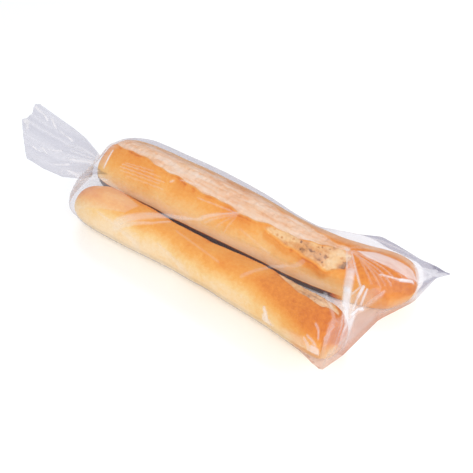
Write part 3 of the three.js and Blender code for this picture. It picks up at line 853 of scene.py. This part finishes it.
def film_colours(x, y, v, past_neck, haze_and_highlight, loaf_top):
    """The upper film's haze and painted highlights, grey and painted warm shade, each 0 to 1.

    Haze is that of the creases and patches, which also stands for painted highlights, or where it
    is greater the milk of the gathered film, which is strongest at the neck and broken by its
    pleats. Grey is double or slack film over bare ground. The warm share paints the crust's bounce
    light and shade onto the film. past_neck runs from -1 at the tail's far edge over 0 at the neck."""
    on_body = past_neck >= 0
    pleats = rough_noise(stack(9 * v, 1.3 * past_neck, 0.0), 1.0, 51, 3)
    pleats = 0.5 + 0.5 * np.clip(1.2 * pleats, -1, 1)
    gathered = np.where(on_body, smooth(1 - past_neck), mix(0.45, 1.0, smooth(1 + 2.2 * past_neck)))
    whiteness = gathered * np.where(on_body, 0.35 + 0.5 * pleats, 0.5 * pleats ** 1.6)
    clear = BETWEEN_CLEAR * between(y, *BETWEEN_LOAVES) * rise(x, *BETWEEN_START)
    grey = smooth((LOAF_EDGE - loaf_top) / LOAF_BORDER) * (1 - clear) \
        * (1 - NECK_CLEAR["gathered"] * gathered) \
        * mix(NECK_CLEAR["share"], 1.0, rise(x, *NECK_CLEAR["x"]))
    slack = rise(y, *SLACK_GREY["y"]) * rise(x, *SLACK_GREY["x"])
    grey = np.maximum(grey, SLACK_GREY["share"] * slack)
    grey = np.where(on_body, grey, TAIL_GREY + PLEAT_GREY * (1 - pleats))
    # Painted warm shade and bounce light of the crust, weaker over a loaf.
    bounce_share = painted_bounce_share(x, y) * (1 - PAINTED_BOUNCE_OVER_LOAF * smooth((loaf_top - LOAF_EDGE) / 10.0))
    return stack(np.maximum(haze_and_highlight, whiteness), grey, bounce_share, 1.0)


def film_grid(loaf_points):
    """The bag as rings of points from the tail's far edge to the seal, their colours, and the
    triangles between upper and lower film that shut the first ring."""
    v = end_spacing(ACROSS + 1, -1.0, 1.0, EDGE_CROWDING)
    v_below = -np.cos(np.pi * np.arange(1, BELOW) / BELOW)[::-1]
    t = 1 - np.arange(TAIL_STATIONS) / TAIL_STATIONS
    stations = end_spacing(BODY_STATIONS + 1, NECK["x"], SEAL["station"], BODY_CROWDING)
    reach, heights = section_reach(loaf_points, stations), loaf_heights(loaf_points)
    (x, y, top, middle), (x_below, y_below, _, bottom) = (
        [np.vstack(pair) for pair in zip(tail_points(t, places),
                                         body_points(stations, places, reach, heights))]
        for places in (v, v_below))
    past_neck = np.concatenate([-t, (stations - NECK["x"]) / NECK["gather"]])[:, None]
    on_body = past_neck >= 0
    lift, haze_and_highlight = crease_fields(x, y)
    top = top + np.where(on_body, lift * smooth((1 - np.abs(v)) * 12), 0.5 * lift)
    edge = (top + middle) / 2
    top[:, 0], top[:, -1] = edge[:, 0], edge[:, -1]
    upper, lower = stack(x, y, top), stack(x_below, y_below, bottom)
    colours = film_colours(x, y, v, past_neck, haze_and_highlight, height_at(heights, x, y))
    # The lower film gets the painted warm shade as well.
    colours_below = stack(0.0, np.where(on_body, *UNDER_GREY), painted_bounce_share(x_below, y_below), 1.0)
    step, spots, ring = ACROSS // BELOW, np.arange(BELOW), ACROSS + BELOW
    under, next_under = (ring - spots) % ring, ring - spots - 1
    cap = [stack(step * spots + k, step * spots + k + 1, under) for k in range(step)]
    cap = np.vstack(cap + [stack(step * (spots + 1), next_under, under)])
    cap = cap[(cap[:, 0] != cap[:, 2]) & (cap[:, 0] != cap[:, 1])]
    points = np.concatenate([upper, lower], axis=1)
    colours = np.concatenate([colours, colours_below], axis=1)
    return points[:, ::-1], colours[:, ::-1], ring - 1 - cap


# The film's tint where it is single and double, its tint in the patches of painted warm shade
# and bounce light, and the white of its milky creases and painted highlights.
SINGLE_TINT = (0.955, 0.95, 0.965, 1)
DOUBLE_TINT = (0.53, 0.515, 0.58, 1)
PAINTED_BOUNCE_TINT = (0.91, 0.67, 0.54, 1)
HAZE_AND_HIGHLIGHT_WHITE = (0.86, 0.84, 0.88, 1)


def clear_material():
    """Thin clear film: see-through, glossy where it turns away, milky along its creases, where it
    also carries painted highlights and painted warm shade from the crust.

    Light on its way to the loaves and the floor passes it untouched, so they stay evenly lit."""
    material, tree, place, (whiteness, grey, bounce_share) = new_material("clear_film")
    tree.nodes.remove(tree.nodes["Principled BSDF"])
    stretch = node(tree, "Mapping", Vector=place, Scale=(0.35, 1.6, 1.6))
    streaks = noise(tree, stretch.outputs["Vector"], 60.0, 5.0, 0.65)
    broken = maths(tree, "ADD", maths(tree, "MULTIPLY", streaks, 1.1), 0.35)
    # The haze of the creases and patches carries painted highlights as well as milky film.
    haze_and_highlight = maths(tree, "MULTIPLY", whiteness, broken, clamp=True)
    wrinkle = noise(tree, place, 75.0, 3.0, 0.5)
    bump = node(tree, "Bump", Strength=0.15, Distance=0.002, Height=wrinkle)
    normal = bump.outputs["Normal"]
    facing = node(tree, "LayerWeight", Blend=0.5, Normal=normal).outputs["Facing"]
    edgewise = maths(tree, "MULTIPLY", maths(tree, "POWER", facing, 4.0), 0.34)
    share = maths(tree, "ADD", maths(tree, "ADD", edgewise, 0.035), haze_and_highlight, clamp=True)
    tint = mix_colours(tree, grey, SINGLE_TINT, DOUBLE_TINT)
    # Painted warm shade and bounce light: the tint is warmed where the fields say.
    tint = mix_colours(tree, bounce_share, tint, PAINTED_BOUNCE_TINT, "MULTIPLY")
    through = node(tree, "BsdfTransparent", Color=tint)
    gloss = node(tree, "BsdfPrincipled", Base_Color=HAZE_AND_HIGHLIGHT_WHITE, Roughness=0.1,
                 Specular_IOR_Level=1.0, Normal=normal)
    path = node(tree, "LightPath")
    passing = maths(tree, "MAXIMUM", path.outputs["Is Shadow Ray"], path.outputs["Is Diffuse Ray"])
    untouched = node(tree, "BsdfTransparent")
    skin, both = (node(tree, "MixShader") for _ in range(2))
    for mixed, parts in ((skin, (share, through.outputs[0], gloss.outputs[0])),
                         (both, (passing, skin.outputs[0], untouched.outputs[0]))):
        for socket, part in zip(mixed.inputs, parts):
            tree.links.new(part, socket)
    tree.links.new(both.outputs[0], tree.nodes["Material Output"].inputs["Surface"])
    return material


film = mesh_from_grid("film", *film_grid(loaf_surfaces))
film.data.materials.append(clear_material())
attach(film, "root")
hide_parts("bag")

# ----------------------------
# The plain pale floor, the soft studio light and the camera, in front of the bag to the right.
FLOOR_SIZE = 6.0
FLOOR_COLOUR = (0.95, 0.965, 0.99, 1)
FLOOR_GLOW, GLOW_STRENGTH = (0.7, 0.88, 1.0, 1), 0.06  # takes the crust's warm light off it
bpy.ops.mesh.primitive_plane_add(size=FLOOR_SIZE, location=(0, 0, 0))
floor = bpy.context.object
floor.name = "floor"
floor_material = bpy.data.materials.new("pale_floor")
floor_material.use_nodes = True
fill(floor_material.node_tree, floor_material.node_tree.nodes["Principled BSDF"],
     Base_Color=FLOOR_COLOUR, Roughness=0.9, Specular_IOR_Level=0.1,
     Emission_Color=FLOOR_GLOW, Emission_Strength=GLOW_STRENGTH)
floor.data.materials.append(floor_material)

SKY_STRENGTH = 0.56
world = bpy.data.worlds.new("studio")
world.use_nodes = True
fill(world.node_tree, world.node_tree.nodes["Background"], Color=(1.0, 1.0, 1.0, 1),
     Strength=SKY_STRENGTH)
bpy.context.scene.world = world


def softbox(name, place, aim, size, power, seen_in_gloss=False):
    """A rectangular area light at a place, turned to face a point."""
    light = bpy.data.lights.new(name, "AREA")
    light.shape = "RECTANGLE"
    light.size, light.size_y = size
    light.energy = power
    lamp = bpy.data.objects.new(name, light)
    lamp.location = place
    x, y, z = (a - b for a, b in zip(aim, place))
    lamp.rotation_euler = (math.atan2(math.hypot(x, y), -z), 0, math.atan2(-x, y))
    lamp.visible_glossy = seen_in_gloss
    bpy.context.scene.collection.objects.link(lamp)


softbox("fill", (0.70, -1.06, 1.76), (0, 0, 0), (0.6, 0.6), 18.5)
softbox("key", (-0.6, 0.9, 1.7), (0, 0, 0), (0.9, 0.6), 7)
softbox("side", (1.5, 0.6, 1.2), (0.05, 0, 0), (0.5, 0.9), 3, seen_in_gloss=True)
softbox("side_fill", (1.7, -0.5, 0.9), (0.1, 0, 0), (0.8, 0.8), 4.5)

CAMERA_AZIMUTH, CAMERA_ELEVATION = math.radians(33.42), math.radians(48.0)
CAMERA_DISTANCE = 0.94
CAMERA_AIM = np.array([8.3, 12.8, 25.0]) * MM + PLACE
HALF_VIEW, SENSOR_WIDTH = math.radians(15.0), 36.0
level = math.cos(CAMERA_ELEVATION)
back = np.array([math.sin(CAMERA_AZIMUTH) * level, -math.cos(CAMERA_AZIMUTH) * level,
                 math.sin(CAMERA_ELEVATION)])
lens = bpy.data.cameras.new("camera")
lens.sensor_width = SENSOR_WIDTH
lens.lens = SENSOR_WIDTH / 2 / math.tan(HALF_VIEW)
camera = bpy.data.objects.new("camera", lens)
camera.location = CAMERA_AIM + back * CAMERA_DISTANCE
camera.rotation_euler = (math.pi / 2 - CAMERA_ELEVATION, 0, CAMERA_AZIMUTH)
bpy.context.scene.collection.objects.link(camera)
bpy.context.scene.camera = camera
bpy.context.scene.view_settings.view_transform = "Standard"
